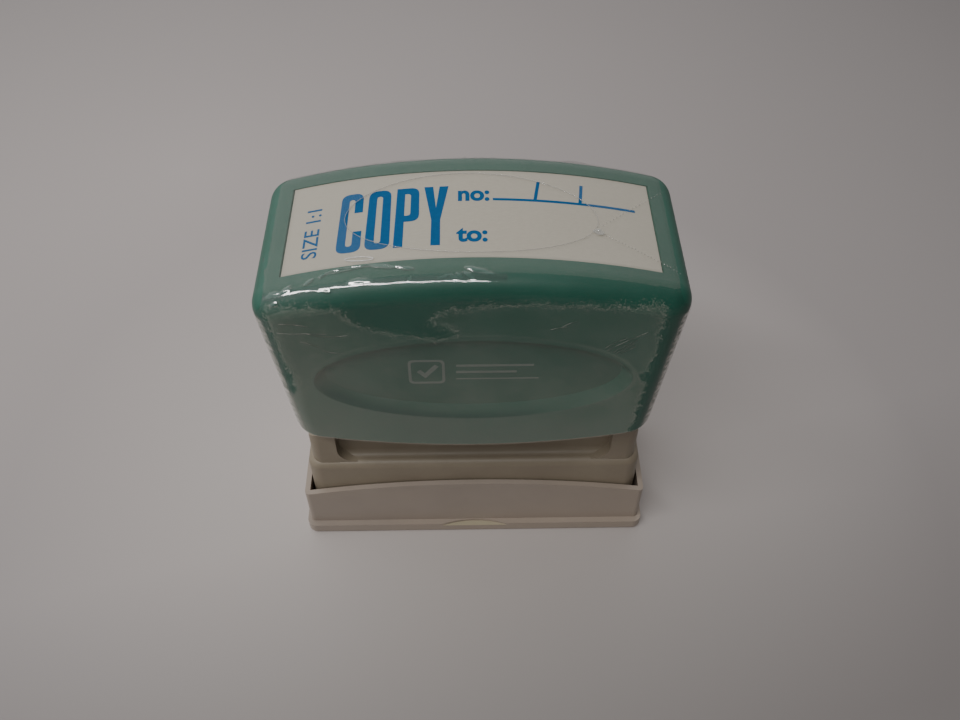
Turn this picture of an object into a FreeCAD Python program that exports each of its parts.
import FreeCAD
import Part

import math
import os
import re

import Sketcher

# A pre-inked hand stamp with a spring-loaded skirt, a pull-off handle and a dust cap.
#
# Millimetres. The stamp stands in its cap with +Z up, the front faces -Y, and the origin is at the
# centre of the cap's underside. From the table up:
#
# cap          a shallow tray that the skirt stands in, with a foot flange and a nail scoop each side
# skirt        the frame that rests on the paper and guides the die block. Two columns rise from it
# mount        the die block. Two posts and two ink tubes rise from it through the skirt's web
# carrier      a tray screwed on the posts. The springs hold it up, the depth screws stop it going down
# handle_shell the cover that is pushed on the carrier and pulled off it to fill ink
# index_label  the printed card in the handle's crown
# shrink_film  the clear film shrunk round the handle, open in an oval over the label

DIMENSIONS = {
    # handle shell: front outline
    "handle_crown": 63.36,
    "crown_radius": 101.5,
    "handle_top_width": 59.6,
    "handle_bottom_width": 54.3,
    "handle_end_height": 27.17,
    "handle_hem": 28.36,
    "hem_radius": 108.0,
    "hem_corner": 2.4,
    "handle_depth": 27.5,
    "handle_upright": 3.7,
    "handle_shoulder": 3.4,
    # handle shell: inside
    "end_wall": 1.6,
    "face_wall": 2.3,
    "crown_wall": 2.6,
    "cavity_drop": 6.0,
    "rib_thick": 1.2,
    "rib_pitch": 15.0,
    "rib_foot": 32.0,
    "stop_reach": 2.4,
    # oval dish in the front and the back of the handle
    "dish_width": 45.2,
    "dish_height": 17.3,
    "dish_level": 43.7,
    "dish_depth": 1.05,
    "dish_floor_width": 42.2,
    "dish_floor_height": 15.0,
    "dish_floor_rise": 0.95,
    # index label and its pocket
    "label_length": 50.6,
    "label_width": 17.7,
    "label_thick": 0.2,
    "label_glue": 0.02,
    "pocket_depth": 0.33,
    "pocket_gap": 0.1,
    "pocket_bevel": 0.15,
    # shrink film
    "film_gap": 0.1,
    "film_thick": 0.1,
    "film_mouth_length": 35.0,
    "film_mouth_width": 16.2,
    # cap
    "cap_length": 57.7,
    "cap_depth": 22.8,
    "cap_wall": 0.9,
    "cap_floor": 1.4,
    "cap_ledge": 2.6,
    "cap_ledge_width": 1.3,
    "cap_rim": 13.4,
    "rim_radius": 152.0,
    "cap_corner": 0.9,
    "foot_length": 58.8,
    "foot_depth": 24.9,
    "foot_height": 2.3,
    "foot_corner": 1.6,
    "foot_edge": 0.6,
    "scoop_floor": 1.8,
    "scoop_chord": 11.4,
    "scoop_cut": 0.95,
    # skirt
    "skirt_length": 55.1,
    "skirt_depth": 20.6,
    "skirt_wall": 1.2,
    "skirt_shoulder": 18.0,
    "skirt_corner": 2.2,
    "skirt_edge": 1.3,
    "web_thick": 1.6,
    "neck_depth": 15.6,
    "neck_top": 29.0,
    "neck_wall": 1.2,
    "neck_blend": 1.15,
    "column_span": 49.6,
    "column_gap": 44.6,
    "column_depth": 18.0,
    "column_top": 42.0,
    "column_corner": 1.6,
    "heel_span": 53.4,
    "heel_depth": 19.4,
    "heel_top": 25.4,
    "heel_edge": 1.8,
    "heel_flare": 3.0,
    "guide_thick": 1.6,
    "guide_pitch": 12.0,
    "guide_gap": 0.3,
    # die block
    "mount_length": 47.2,
    "mount_depth": 17.8,
    "mount_wall": 1.2,
    "mount_foot": 8.1,
    "mount_head": 16.3,
    "mount_roof": 1.8,
    "mount_corner": 1.4,
    "post_spacing": 23.0,
    "post_diameter": 6.0,
    "tube_spacing": 8.4,
    "tube_diameter": 5.0,
    "tube_bore": 2.6,
    "tube_top": 41.4,
    # die and what holds it
    "retainer_foot": 7.0,
    "retainer_lap": 1.2,
    "tab_thick": 0.6,
    "tab_width": 5.0,
    "tab_top": 13.0,
    "die_flange_head": 10.1,
    "die_root": 6.9,
    "die_face": 6.4,
    "die_gap": 0.2,
    "word_length": 15.2,
    "word_depth": 12.1,
    "word_place": 13.1,
    "note_length": 4.1,
    "note_depth": 3.2,
    "note_place": 2.45,
    "note_pitch": 8.5,
    "rule_length": 20.3,
    "rule_thick": 0.5,
    "rule_place": 10.6,
    "rule_level": 3.3,
    # carrier
    "carrier_length": 44.2,
    "carrier_depth": 16.8,
    "carrier_foot": 34.0,
    "carrier_head": 45.0,
    "carrier_floor": 40.0,
    "carrier_wall": 1.4,
    "carrier_corner": 1.0,
    "seat_diameter": 9.2,
    "seat_roof": 38.0,
    # screws and springs
    "screw_diameter": 2.6,
    "screw_head": 4.6,
    "screw_head_high": 1.5,
    "screw_tip": 31.0,
    "stop_spacing": 36.8,
    "stop_diameter": 3.0,
    "stop_head": 4.4,
    "stop_head_high": 2.0,
    "stop_tip": 22.1,
    "slot_width": 0.7,
    "slot_deep": 0.9,
    "spring_mean": 7.3,
    "spring_wire": 0.7,
    "spring_turns": 8.0,
    # fits
    "fit_gap": 0.05,
    "hole_gap": 0.1,
}

doc = FreeCAD.newDocument("hand_stamp")
sheet = doc.addObject("Spreadsheet::Sheet", "dims")
for row, (alias, number) in enumerate(DIMENSIONS.items(), start=1):
    sheet.set(f"A{row}", alias)
    sheet.set(f"B{row}", str(number))
    sheet.setAlias(f"B{row}", alias)
doc.recompute()

WORD = re.compile(r"[a-z][a-z_]*[a-z]")


# ---------------------------------------------------------------- sizes from the sheet


def bind(target, path, formula):
    """Binds a property to a formula that names cells of the sheet."""
    cells = WORD.sub(lambda word: "dims." + word[0] if word[0] in DIMENSIONS else word[0], formula)
    target.setExpression(path, cells)


def size(formula):
    """The present value of such a formula."""
    numbers = WORD.sub(lambda word: repr(float(sheet.get(word[0]))), formula)
    return FreeCAD.Units.Quantity(numbers).Value


def pair(spacing):
    """The names and x places of a left and right pair."""
    return {"left": f"-({spacing}) / 2", "right": f"({spacing}) / 2"}


# ---------------------------------------------------------------- primitives and booleans


def place(target, x, y, z):
    for axis, formula in zip("xyz", (x, y, z)):
        bind(target, f"Placement.Base.{axis}", formula)
    return target


def block(name, length, depth, low, high, x="0", y="0"):
    """A box centred on (x, y), from height low to height high."""
    made = doc.addObject("Part::Box", name)
    bind(made, "Length", length)
    bind(made, "Width", depth)
    bind(made, "Height", f"({high}) - ({low})")
    return place(made, f"({x}) - ({length}) / 2", f"({y}) - ({depth}) / 2", low)


def rod(name, diameter, low, high, x="0", y="0"):
    """An upright cylinder."""
    made = doc.addObject("Part::Cylinder", name)
    bind(made, "Radius", f"({diameter}) / 2")
    bind(made, "Height", f"({high}) - ({low})")
    return place(made, x, y, low)


def fuse(name, pieces):
    made = doc.addObject("Part::MultiFuse", name)
    made.Shapes = pieces
    made.Refine = True
    return made


def cut(name, base, tools):
    """base less every tool."""
    made = doc.addObject("Part::Cut", name)
    made.Base = base
    made.Tool = tools[0] if len(tools) == 1 else fuse(name + "_tools", tools)
    return made


def edges_where(shape, test):
    """Numbers of the edges whose middle point, direction there and length pass the test."""
    found = []
    for number, edge in enumerate(shape.Edges, start=1):
        if edge.Degenerated:
            continue
        halfway = (edge.FirstParameter + edge.LastParameter) / 2
        if test(edge.valueAt(halfway), edge.tangentAt(halfway), edge.Length):
            found.append(number)
    if not found:
        raise RuntimeError("no edge passes the test")
    return found


def rounded(name, base, radius, test):
    """base with the edges that pass the test rounded."""
    doc.recompute()
    made = doc.addObject("Part::Fillet", name)
    made.Base = base
    made.Edges = [(number, size(radius), size(radius)) for number in edges_where(base.Shape, test)]
    return made


def upright(middle, tangent, length):
    return abs(tangent.z) > 0.9


# ---------------------------------------------------------------- bodies made from sketches


def new_body(name):
    return doc.addObject("PartDesign::Body", name)


def sketch_on(body, name, role, lift="0"):
    """A sketch on one of the body's own origin planes, lifted along the plane's normal."""
    made = body.newObject("Sketcher::SketchObject", name)
    plane = next(feature for feature in body.Origin.OriginFeatures if feature.Role == role)
    made.AttachmentSupport = [(plane, "")]
    made.MapMode = "FlatFace"
    bind(made, "AttachmentOffset.Base.z", lift)
    return made


def hold(sketch, name, kind, *places, formula):
    """Adds a named dimension bound to a formula."""
    number = sketch.addConstraint(Sketcher.Constraint(kind, *places, size(formula)))
    sketch.renameConstraint(number, name)
    bind(sketch, f"Constraints.{name}", formula)


def centred_arc(sketch, name, level, radius, half, crown):
    """An arc centred on the vertical axis: a crown's highest point, or a hem's lowest, is at level."""
    away = 1 if crown else -1
    turn = 0 if crown else math.pi
    swing = math.asin(size(half) / size(radius))
    centre = FreeCAD.Vector(0, size(level) - away * size(radius), 0)
    circle = Part.Circle(centre, FreeCAD.Vector(0, 0, 1), size(radius))
    middle = math.pi / 2 + turn
    arc = sketch.addGeometry(Part.ArcOfCircle(circle, middle - swing, middle + swing), False)
    sketch.addConstraint(Sketcher.Constraint("Symmetric", arc, 1, arc, 2, -2))
    hold(sketch, name + "_radius", "Radius", arc, formula=radius)
    if size(level) > away * size(radius):
        rise = f"{level} - ({away}) * ({radius})"
        hold(sketch, name + "_centre", "DistanceY", -1, 1, arc, 3, formula=rise)
    else:
        drop = f"({away}) * ({radius}) - ({level})"
        hold(sketch, name + "_centre", "DistanceY", arc, 3, -1, 1, formula=drop)
    return arc


def close_sides(sketch, upper, lower):
    """Joins the ends of two centred curves with straight sides.

    A crown arc runs from its right end to its left end, and a hem arc from left to right.
    """
    ends = ((upper, 1, lower, 2), (upper, 2, lower, 1))
    for top, top_end, bottom, bottom_end in ends:
        start = sketch.getPoint(top, top_end)
        stop = sketch.getPoint(bottom, bottom_end)
        side = sketch.addGeometry(Part.LineSegment(start, stop), False)
        sketch.addConstraint(Sketcher.Constraint("Coincident", side, 1, top, top_end))
        sketch.addConstraint(Sketcher.Constraint("Coincident", side, 2, bottom, bottom_end))


def rectangle(sketch, name, length, depth):
    """A rectangle centred on the sketch's origin."""
    x = size(length) / 2
    y = size(depth) / 2
    corners = [FreeCAD.Vector(a * x, b * y, 0) for a, b in ((-1, -1), (1, -1), (1, 1), (-1, 1))]
    sides = [Part.LineSegment(corners[k], corners[(k + 1) % 4]) for k in range(4)]
    lines = [sketch.addGeometry(side, False) for side in sides]
    for k in range(4):
        sketch.addConstraint(Sketcher.Constraint("Coincident", lines[k], 2, lines[(k + 1) % 4], 1))
    for k, kind in enumerate(("Horizontal", "Vertical", "Horizontal")):
        sketch.addConstraint(Sketcher.Constraint(kind, lines[k]))
    sketch.addConstraint(Sketcher.Constraint("Symmetric", lines[0], 1, lines[1], 2, -1, 1))
    hold(sketch, name + "_length", "DistanceX", lines[0], 1, lines[0], 2, formula=length)
    hold(sketch, name + "_depth", "DistanceY", lines[1], 1, lines[1], 2, formula=depth)


def closed_line(sketch, points):
    """A closed line through points given as pairs of formulas, each point bound to its place."""
    ends = [FreeCAD.Vector(size(x), size(y), 0) for x, y in points]
    count = len(points)
    sides = [Part.LineSegment(ends[k], ends[(k + 1) % count]) for k in range(count)]
    lines = [sketch.addGeometry(side, False) for side in sides]
    for k in range(count):
        sketch.addConstraint(Sketcher.Constraint("Coincident", lines[k], 2, lines[(k + 1) % count], 1))
    for k, (x, y) in enumerate(points):
        for kind, letter, formula in (("DistanceX", "x", x), ("DistanceY", "y", y)):
            name = f"line_{lines[k]}_{letter}"
            if size(formula) < 0:
                hold(sketch, name, kind, lines[k], 1, -1, 1, formula=f"0 - ({formula})")
            else:
                hold(sketch, name, kind, -1, 1, lines[k], 1, formula=formula)


def ellipse(sketch, name, width, height, level):
    """An upright-symmetric ellipse with its centre on the vertical axis."""
    centre = FreeCAD.Vector(0, size(level), 0)
    rim = FreeCAD.Vector(size(width) / 2, size(level), 0)
    top = FreeCAD.Vector(0, size(level) + size(height) / 2, 0)
    made = sketch.addGeometry(Part.Ellipse(rim, top, centre), False)
    sketch.exposeInternalGeometry(made)
    major = made + 1
    minor = made + 2
    sketch.addConstraint(Sketcher.Constraint("Horizontal", major))
    sketch.addConstraint(Sketcher.Constraint("PointOnObject", made, 3, -2))
    hold(sketch, name + "_width", "Distance", major, formula=width)
    hold(sketch, name + "_height", "Distance", minor, formula=height)
    if size(level) > 0:
        hold(sketch, name + "_level", "DistanceY", -1, 1, made, 3, formula=level)


def extrude(body, kind, sketch, name, length, symmetric=False, flip=False):
    """A Pad or a Pocket of the sketch."""
    before = body.Shape.Volume if body.Tip else 0.0
    made = body.newObject("PartDesign::" + kind, name)
    made.Profile = sketch
    if symmetric:
        made.SideType = "Symmetric"
    made.Reversed = flip
    bind(made, "Length", length)
    doc.recompute()
    change = body.Shape.Volume - before
    if change * (1 if kind == "Pad" else -1) <= 0:
        raise RuntimeError(f"{name} changes the volume by {change}")
    return made


def soften(body, name, radius, test):
    """Rounds the edges of the body's last feature that pass the test."""
    doc.recompute()
    base = body.Tip
    made = body.newObject("PartDesign::Fillet", name)
    made.Base = (base, [f"Edge{number}" for number in edges_where(base.Shape, test)])
    bind(made, "Radius", radius)
    doc.recompute()
    return made


# ---------------------------------------------------------------- handle, label and film


def handle_outline(body, name, side, crown, drop):
    """The front outline with its ends moved out by side, its crown raised and its hem lowered."""
    sketch = sketch_on(body, name, "XZ_Plane")
    lean = f"2 * ({drop}) * (handle_top_width - handle_bottom_width) / 2 / handle_end_height"
    top_width = f"handle_top_width + 2 * ({side})"
    hem_width = f"handle_bottom_width + 2 * ({side}) - {lean}"
    top = centred_arc(sketch, "crown", f"handle_crown + ({crown})", f"crown_radius + ({crown})",
                      f"({top_width}) / 2", True)
    hem = centred_arc(sketch, "hem", f"handle_hem - ({drop})", "hem_radius", f"({hem_width}) / 2", False)
    close_sides(sketch, top, hem)
    hold(sketch, "top_width", "DistanceX", top, 2, top, 1, formula=top_width)
    hold(sketch, "hem_width", "DistanceX", hem, 1, hem, 2, formula=hem_width)
    return sketch


def handle_block(body, grow, drop="0", wider="0"):
    """The outline drawn out to the handle's depth, every surface moved out by grow."""
    outline = handle_outline(body, body.Name + "_outline", grow, grow, drop)
    depth = f"handle_depth + 2 * ({grow}) + ({wider})"
    extrude(body, "Pad", outline, body.Name + "_block", depth, symmetric=True)


def handle_form(body, grow, drop="0"):
    """The block with its uprights and its shoulder rounded. The hem's edge stays sharp."""
    handle_block(body, grow, drop)
    half_way = size("handle_hem + handle_end_height / 2")
    soften(body, body.Name + "_uprights", f"handle_upright + ({grow})", upright)
    soften(body, body.Name + "_shoulder", f"handle_shoulder + ({grow})",
           lambda middle, tangent, length: not upright(middle, tangent, length) and middle.z > half_way)


def round_hem(body, grow):
    """Rounds the two ends of the hem by keeping what lies inside a rounded block."""
    keeper = new_body(body.Name + "_keeper")
    handle_block(keeper, grow, wider="hem_corner")
    half_way = size("handle_hem + handle_end_height / 2")
    soften(keeper, keeper.Name + "_corners", "hem_corner",
           lambda middle, tangent, length: abs(tangent.y) > 0.9 and middle.z < half_way)
    kept = body.newObject("PartDesign::Boolean", body.Name + "_hem")
    kept.Type = "Common"
    kept.setObjects([keeper])
    doc.recompute()


def handle_cavity(body):
    outline = handle_outline(body, "cavity_outline", "-end_wall", "-crown_wall", "cavity_drop")
    extrude(body, "Pocket", outline, "cavity", "handle_depth - 2 * face_wall", symmetric=True)


def handle_ribs(body):
    """Three ribs on each face guide the carrier's sides, and their heads rest on its rim."""
    outer = "handle_depth / 2 - face_wall / 2"
    guide = "carrier_depth / 2 + fit_gap"
    stop = "carrier_depth / 2 - stop_reach"
    head = "carrier_head + fit_gap"
    roof = "handle_crown - crown_wall / 2 - rib_pitch * rib_pitch / crown_radius / 2"
    for name, lift in (("left", "-rib_pitch"), ("middle", "0"), ("right", "rib_pitch")):
        sketch = sketch_on(body, f"rib_{name}_outline", "YZ_Plane", lift)
        for way in ("-1", "1"):
            steps = ((outer, "rib_foot"), (outer, roof), (stop, roof), (stop, head), (guide, head),
                     (guide, "rib_foot"))
            closed_line(sketch, [(f"({way}) * ({y})", z) for y, z in steps])
        extrude(body, "Pad", sketch, f"rib_{name}", "rib_thick", symmetric=True)


def handle_dish(body):
    """The shallow oval dish, first in the front face and then mirrored to the back."""
    rim = sketch_on(body, "dish_rim", "XZ_Plane", "handle_depth / 2")
    ellipse(rim, "rim", "dish_width", "dish_height", "dish_level")
    floor = sketch_on(body, "dish_floor", "XZ_Plane", "handle_depth / 2 - dish_depth")
    ellipse(floor, "floor", "dish_floor_width", "dish_floor_height", "dish_level + dish_floor_rise")
    before = body.Shape.Volume
    dish = body.newObject("PartDesign::SubtractiveLoft", "dish")
    dish.Profile = floor
    dish.Sections = [rim]
    doc.recompute()
    mirror = body.newObject("PartDesign::Mirrored", "dish_behind")
    mirror.Originals = [dish]
    plane = next(feature for feature in body.Origin.OriginFeatures if feature.Role == "XZ_Plane")
    mirror.MirrorPlane = (plane, [""])
    body.Tip = mirror
    doc.recompute()
    least = math.pi / 4 * size("dish_floor_width * dish_floor_height * dish_depth")
    if before - body.Shape.Volume < 2 * least:
        raise RuntimeError("the dishes are too shallow")


def label_band(body, name, floor, roof, half):
    """A closed outline between two arcs about the crown's centre."""
    sketch = sketch_on(body, name, "XZ_Plane")
    arcs = []
    for name_of_arc, level in (("floor", floor), ("roof", roof)):
        top = f"handle_crown + ({level})"
        arcs.append(centred_arc(sketch, name_of_arc, top, f"crown_radius + ({level})", half, True))
    low, high = arcs
    for end in (1, 2):
        line = Part.LineSegment(sketch.getPoint(low, end), sketch.getPoint(high, end))
        side = sketch.addGeometry(line, False)
        sketch.addConstraint(Sketcher.Constraint("Coincident", side, 1, low, end))
        sketch.addConstraint(Sketcher.Constraint("Coincident", side, 2, high, end))
    hold(sketch, "floor_length", "DistanceX", low, 2, low, 1, formula=f"2 * ({half})")
    return sketch, high


def label_pocket(body):
    half = "label_length / 2 + pocket_gap"
    reach = "2 * pocket_bevel"
    sketch, roof = label_band(body, "pocket_outline", "-pocket_depth", reach, half)
    flare = f"2 * ({half}) + 2 * pocket_bevel * (pocket_depth + {reach}) / pocket_depth"
    hold(sketch, "roof_length", "DistanceX", roof, 2, roof, 1, formula=flare)
    extrude(body, "Pocket", sketch, "label_pocket", "label_width + 2 * pocket_gap", symmetric=True)


def make_handle():
    body = new_body("handle_shell")
    handle_form(body, "0")
    round_hem(body, "0")
    handle_cavity(body)
    handle_ribs(body)
    handle_dish(body)
    label_pocket(body)
    return body


def make_label():
    body = new_body("index_label")
    lift = "label_glue - pocket_depth"
    sketch, roof = label_band(body, "label_outline", lift, f"{lift} + label_thick", "label_length / 2")
    hold(sketch, "roof_length", "DistanceX", roof, 2, roof, 1, formula="label_length")
    extrude(body, "Pad", sketch, "label_card", "label_width", symmetric=True)
    return body


def make_film():
    outside = new_body("film_outside")
    handle_form(outside, "film_gap + film_thick")
    round_hem(outside, "film_gap + film_thick")
    inside = new_body("film_inside")
    handle_form(inside, "film_gap", "cavity_drop")
    mouth = new_body("film_mouth")
    oval = sketch_on(mouth, "film_mouth_oval", "XY_Plane", "handle_crown - handle_shoulder")
    ellipse(oval, "mouth", "film_mouth_length", "film_mouth_width", "0")
    oval.addConstraint(Sketcher.Constraint("PointOnObject", 0, 3, -1))
    extrude(mouth, "Pad", oval, "film_mouth_hole", "2 * handle_shoulder")
    return cut("shrink_film", outside, [inside, mouth])


# ---------------------------------------------------------------- cap


def cap_foot(body):
    sketch = sketch_on(body, "foot_outline", "XY_Plane")
    rectangle(sketch, "foot", "foot_length", "foot_depth")
    extrude(body, "Pad", sketch, "foot", "foot_height")
    soften(body, "foot_corners", "foot_corner", upright)
    low = size("foot_edge") / 2
    soften(body, "foot_edges", "foot_edge", lambda middle, tangent, length: middle.z < low)


def cap_walls(body):
    """The walls rise from the foot, and their rim is an arc in the front view."""
    sketch = sketch_on(body, "wall_outline", "XZ_Plane")
    rim = centred_arc(sketch, "rim", "cap_rim", "rim_radius", "cap_length / 2", True)
    hold(sketch, "rim_length", "DistanceX", rim, 2, rim, 1, formula="cap_length")
    x = size("cap_length") / 2
    z = size("cap_floor")
    right, left = FreeCAD.Vector(x, z, 0), FreeCAD.Vector(-x, z, 0)
    floor = sketch.addGeometry(Part.LineSegment(left, right), False)
    for end, start in ((1, right), (2, left)):
        side = sketch.addGeometry(Part.LineSegment(start, sketch.getPoint(rim, end)), False)
        sketch.addConstraint(Sketcher.Constraint("Coincident", side, 2, rim, end))
        sketch.addConstraint(Sketcher.Constraint("Coincident", side, 1, floor, 3 - end))
        sketch.addConstraint(Sketcher.Constraint("Vertical", side))
    sketch.addConstraint(Sketcher.Constraint("Horizontal", floor))
    hold(sketch, "floor_level", "DistanceY", -1, 1, floor, 1, formula="cap_floor")
    extrude(body, "Pad", sketch, "walls", "cap_depth", symmetric=True)
    foot = size("foot_height")
    soften(body, "wall_corners", "cap_corner",
           lambda middle, tangent, length: upright(middle, tangent, length) and middle.z > foot)


def cap_inside(body):
    """The hollow above the ledge, and the deeper one inside the ledge."""
    inner_length = "cap_length - 2 * cap_wall"
    inner_depth = "cap_depth - 2 * cap_wall"
    steps = {"hollow": ("cap_ledge", "0"), "well": ("cap_floor", "2 * cap_ledge_width")}
    for name, (level, less) in steps.items():
        sketch = sketch_on(body, name + "_outline", "XY_Plane", level)
        rectangle(sketch, name, f"{inner_length} - {less}", f"{inner_depth} - {less}")
        extrude(body, "Pocket", sketch, name, "cap_rim", flip=True)


def cap_scoops(body):
    """A nail scoop at the middle of the front and of the back: a round bite down to a low shelf."""
    radius = "scoop_chord * scoop_chord / 8 / scoop_cut + scoop_cut / 2"
    for name, way in (("front", -1), ("back", 1)):
        sketch = sketch_on(body, f"scoop_{name}_outline", "XY_Plane", "scoop_floor")
        reach = size(f"foot_depth / 2 - scoop_cut + {radius}")
        centre = FreeCAD.Vector(0, way * reach, 0)
        bite = sketch.addGeometry(Part.Circle(centre, FreeCAD.Vector(0, 0, 1), size(radius)), False)
        sketch.addConstraint(Sketcher.Constraint("PointOnObject", bite, 3, -2))
        hold(sketch, "bite_radius", "Radius", bite, formula=radius)
        ends = (-1, 1, bite, 3) if way > 0 else (bite, 3, -1, 1)
        hold(sketch, "bite_place", "DistanceY", *ends, formula=f"foot_depth / 2 - scoop_cut + {radius}")
        height = "foot_height - scoop_floor + foot_edge / 2"
        extrude(body, "Pocket", sketch, f"scoop_{name}", height, flip=True)


def make_cap():
    body = new_body("cap")
    cap_foot(body)
    cap_walls(body)
    cap_inside(body)
    cap_scoops(body)
    return body


# ---------------------------------------------------------------- skirt


def skirt_shell():
    """The flange, with its corners and its shoulder rounded."""
    raw = block("skirt_block", "skirt_length", "skirt_depth", "cap_ledge", "skirt_shoulder")
    corners = rounded("skirt_corners", raw, "skirt_corner", upright)
    return rounded("skirt_flange", corners, "skirt_edge",
                   lambda middle, tangent, length: middle.z > size("skirt_shoulder - skirt_edge / 2"))


def skirt_columns():
    columns = []
    for side, x in pair("column_span / 2 + column_gap / 2").items():
        width = "column_span / 2 - column_gap / 2"
        root = "skirt_shoulder - web_thick"
        raw = block(f"column_{side}_block", width, "column_depth", root, "column_top", x=x)
        outward = -1 if side == "left" else 1
        half = size("column_span / 2")
        columns.append(rounded(f"column_{side}", raw, "column_corner",
                               lambda middle, tangent, length: outward * middle.x > half - 0.1
                               and middle.z > size("skirt_shoulder")
                               and (abs(tangent.z) > 0.9 or abs(tangent.y) > 0.9)))
    return columns


def skirt_heels():
    """The columns' wide feet near the skirt's ends. A hollow curve leads down to the shoulder inside each."""
    flare = "heel_flare"
    outside = size("heel_span / 2")
    ground = size("skirt_shoulder")
    heels = []
    for side, x in pair("heel_span / 2 + column_gap / 2").items():
        width = "heel_span / 2 - column_gap / 2"
        raw = block(f"heel_{side}_block", width, "heel_depth", "skirt_shoulder - web_thick", "heel_top", x=x)
        outward = -1 if side == "left" else 1
        heels.append(rounded(f"heel_{side}", raw, "heel_edge",
                             lambda middle, tangent, length: outward * middle.x > outside - 0.1
                             and middle.z > ground
                             and (abs(tangent.z) > 0.9 or abs(tangent.y) > 0.9)))
    for side, x in pair(f"column_gap - {flare}").items():
        raw = block(f"flare_{side}_block", flare, "heel_depth", "skirt_shoulder", f"skirt_shoulder + {flare}",
                    x=x)
        hollow = doc.addObject("Part::Cylinder", f"flare_{side}_hollow")
        bind(hollow, "Radius", flare)
        bind(hollow, "Height", "heel_depth")
        hollow.Placement.Rotation = FreeCAD.Rotation(FreeCAD.Vector(1, 0, 0), 90)
        way = "-1" if side == "left" else "1"
        place(hollow, f"{way} * (column_gap / 2 - {flare})", "heel_depth / 2", f"skirt_shoulder + {flare}")
        heels.append(cut(f"flare_{side}", raw, [hollow]))
    return heels


def skirt_guides():
    """Ribs inside the ends that keep the die block in the middle."""
    inner = "skirt_length / 2 - skirt_wall"
    near = "mount_length / 2 + guide_gap"
    guides = []
    for side, x in pair(f"{inner} + {near} + skirt_wall / 2").items():
        for face, y in pair("guide_pitch").items():
            guides.append(block(f"guide_{side}_{face}", f"{inner} - ({near}) + skirt_wall / 2",
                                "guide_thick", "mount_foot", "skirt_shoulder - web_thick / 2", x=x, y=y))
    return guides


def make_skirt():
    length = "column_gap + 2 * fit_gap"
    raised = block("neck_block", length, "neck_depth", "skirt_shoulder - web_thick", "neck_top")
    outer = fuse("skirt_outer", [skirt_shell(), raised] + skirt_columns())
    foot = size("skirt_shoulder")
    side = size("neck_depth / 2")
    blended = rounded("skirt_blend", outer, "neck_blend",
                      lambda middle, tangent, length: abs(middle.z - foot) < 0.01
                      and abs(abs(middle.y) - side) < 0.01 and length > 10)
    web = "skirt_shoulder - web_thick"
    hollow = block("skirt_hollow", "skirt_length - 2 * skirt_wall", "skirt_depth - 2 * skirt_wall",
                   "0", web)
    well = block("skirt_well", "column_gap - 2 * neck_wall", "neck_depth - 2 * neck_wall",
                 "skirt_shoulder", "column_top")
    holes = []
    for kind in ("post", "tube"):
        for way, x in pair(f"{kind}_spacing").items():
            diameter = f"{kind}_diameter + 2 * hole_gap"
            holes.append(rod(f"web_{kind}_hole_{way}", diameter, web, "neck_top", x=x))
    footed = fuse("skirt_footed", [blended] + skirt_heels())
    hollowed = cut("skirt_hollowed", footed, [hollow, well] + holes)
    return fuse("skirt", [hollowed] + skirt_guides())


# ---------------------------------------------------------------- die block, die and foam


def make_mount():
    raw = block("mount_block", "mount_length", "mount_depth", "mount_foot", "mount_head")
    body = rounded("mount_corners", raw, "mount_corner", upright)
    roof = "mount_head - mount_roof"
    solids = [body]
    bores = [block("foam_room", "mount_length - 2 * mount_wall", "mount_depth - 2 * mount_wall",
                   "mount_foot", roof)]
    for side, x in pair("post_spacing").items():
        solids.append(rod(f"post_{side}", "post_diameter", roof, "seat_roof", x=x))
        bores.append(rod(f"post_bore_{side}", "screw_diameter + hole_gap", "screw_tip - hole_gap",
                         "seat_roof", x=x))
    for side, x in pair("tube_spacing").items():
        solids.append(rod(f"ink_tube_{side}", "tube_diameter", roof, "tube_top", x=x))
        bores.append(rod(f"ink_bore_{side}", "tube_bore", "mount_foot", "tube_top", x=x))
    return cut("mount", fuse("mount_solid", solids), bores)


def make_retainer():
    """The frame under the die, with a tab at each end that clips on the die block."""
    raw = block("retainer_block", "mount_length", "mount_depth", "retainer_foot", "mount_foot")
    plate = rounded("retainer_plate", raw, "mount_corner", upright)
    lap = "2 * (mount_wall + retainer_lap)"
    foot = "retainer_foot"
    window = block("retainer_window", f"mount_length - {lap}", f"mount_depth - {lap}", foot, "mount_foot")
    pieces = [cut("retainer_frame", plate, [window])]
    for side, x in pair("mount_length + tab_thick").items():
        pieces.append(block(f"retainer_tab_{side}", "tab_thick", "tab_width", foot, "tab_top", x=x))
    for side, x in pair("mount_length - tab_thick").items():
        pieces.append(block(f"retainer_root_{side}", "3 * tab_thick", "tab_width", foot,
                            "mount_foot - fit_gap", x=x))
    return fuse("die_retainer", pieces)


def make_die():
    """The rubber die: a flange behind the retainer, a plinth through its window, and the raised print.

    The print is one large word, two small ones and a rule, each as the field that it fills.
    """
    inner_length = "mount_length - 2 * mount_wall - die_gap"
    inner_depth = "mount_depth - 2 * mount_wall - die_gap"
    plinth = (f"{inner_length} - 2 * retainer_lap", f"{inner_depth} - 2 * retainer_lap")
    face = ("die_face", "die_root")
    pieces = [block("die_flange", inner_length, inner_depth, "mount_foot", "die_flange_head"),
              block("die_plinth", *plinth, "die_root", "mount_foot"),
              block("die_word", "word_length", "word_depth", *face, x="0 - word_place"),
              block("die_rule", "rule_length", "rule_thick", *face, x="rule_place", y="rule_level")]
    for row, y in pair("note_pitch").items():
        pieces.append(block(f"die_note_{row}", "note_length", "note_depth", *face, x="0 - note_place", y=y))
    return fuse("stamp_die", pieces)


def make_foam():
    length = "mount_length - 2 * mount_wall - die_gap"
    depth = "mount_depth - 2 * mount_wall - die_gap"
    return block("ink_foam", length, depth, "die_flange_head", "mount_head - mount_roof")


# ---------------------------------------------------------------- carrier, screws and springs


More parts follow.
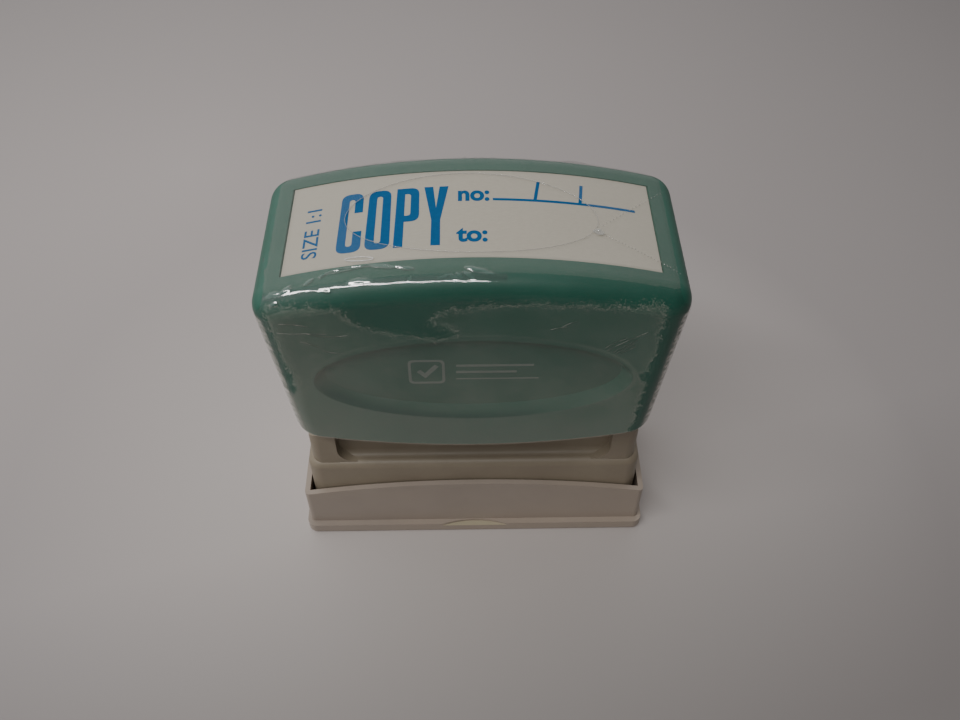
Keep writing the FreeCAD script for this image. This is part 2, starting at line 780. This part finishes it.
def make_carrier():
    raw = block("carrier_block", "carrier_length", "carrier_depth", "carrier_foot", "carrier_head")
    body = rounded("carrier_corners", raw, "carrier_corner", upright)
    bores = [block("carrier_tray", "carrier_length - 2 * carrier_wall", "carrier_depth - 2 * carrier_wall",
                   "carrier_floor", "carrier_head")]
    for side, x in pair("post_spacing").items():
        bores.append(rod(f"spring_seat_{side}", "seat_diameter", "carrier_foot", "seat_roof", x=x))
        bores.append(rod(f"screw_hole_{side}", "screw_diameter + hole_gap", "seat_roof",
                         "carrier_floor", x=x))
    for side, x in pair("tube_spacing").items():
        bores.append(rod(f"tube_hole_{side}", "tube_diameter + hole_gap", "carrier_foot",
                         "carrier_floor", x=x))
    for side, x in pair("stop_spacing").items():
        bores.append(rod(f"stop_hole_{side}", "stop_diameter + 2 * fit_gap", "carrier_foot",
                         "carrier_floor", x=x))
    return cut("carrier", body, bores)


def screw(name, x, diameter, head, head_high, tip):
    """A slotted screw whose head stands on the carrier's floor."""
    seat = "carrier_floor + fit_gap"
    top = f"{seat} + {head_high}"
    shank = rod(name + "_shank", diameter, tip, top, x=x)
    cap = rod(name + "_head", head, seat, top, x=x)
    slot = block(name + "_slot", "slot_width", head, f"{top} - slot_deep", top, x=x)
    return cut(name, fuse(name + "_solid", [shank, cap]), [slot])


def make_screws():
    made = []
    carrier_screw = ("screw_diameter", "screw_head", "screw_head_high", "screw_tip")
    for side, x in pair("post_spacing").items():
        made.append(screw(f"carrier_screw_{side}", x, *carrier_screw))
    depth_screw = ("stop_diameter", "stop_head", "stop_head_high", "stop_tip")
    for side, x in pair("stop_spacing").items():
        made.append(screw(f"depth_screw_{side}", x, *depth_screw))
    return made


def make_springs():
    """Two open coils that stand on the skirt's web and push up in the carrier's seats."""
    made = []
    rise = "seat_roof - skirt_shoulder - spring_wire - 2 * fit_gap"
    for side, x in pair("post_spacing").items():
        helix = doc.addObject("Part::Helix", f"coil_{side}")
        bind(helix, "Height", rise)
        bind(helix, "Pitch", f"({rise}) / spring_turns")
        bind(helix, "Radius", "spring_mean / 2")
        wire = doc.addObject("Part::Circle", f"coil_wire_{side}")
        bind(wire, "Radius", "spring_wire / 2")
        wire.Placement.Rotation = FreeCAD.Rotation(FreeCAD.Vector(1, 0, 0), 90)
        bind(wire, "Placement.Base.x", "spring_mean / 2")
        spring = doc.addObject("Part::Sweep", f"return_spring_{side}")
        spring.Sections = [wire]
        spring.Spine = (helix, ["Edge1"])
        spring.Solid = True
        spring.Frenet = True
        made.append(place(spring, x, "0", "skirt_shoulder + spring_wire / 2 + fit_gap"))
    return made


# ---------------------------------------------------------------- build, check and write


def build():
    parts = [make_cap(), make_skirt()]
    parts += [make_mount(), make_retainer(), make_die(), make_foam()]
    parts += [make_carrier()] + make_screws() + make_springs()
    parts += [make_handle(), make_label(), make_film()]
    doc.recompute()
    return parts


def check(parts):
    for made in doc.Objects:
        if {"Invalid", "Error"} & set(made.State):
            raise RuntimeError(f"{made.Name}: {made.State}")
    for part in parts:
        shape = part.Shape
        if shape.isNull() or not shape.isValid() or len(shape.Solids) != 1:
            raise RuntimeError(f"{part.Name}: not one valid solid")
        box = shape.BoundBox
        print(f"{part.Name:22s} {shape.Volume:9.1f} mm3  x {box.XMin:7.2f} {box.XMax:7.2f}"
              f"  y {box.YMin:7.2f} {box.YMax:7.2f}  z {box.ZMin:7.2f} {box.ZMax:7.2f}")


parts = build()
check(parts)
os.makedirs("parts", exist_ok=True)
for part in parts:
    part.Label = part.Name
    part.Shape.exportStep(f"parts/{part.Label}.step")
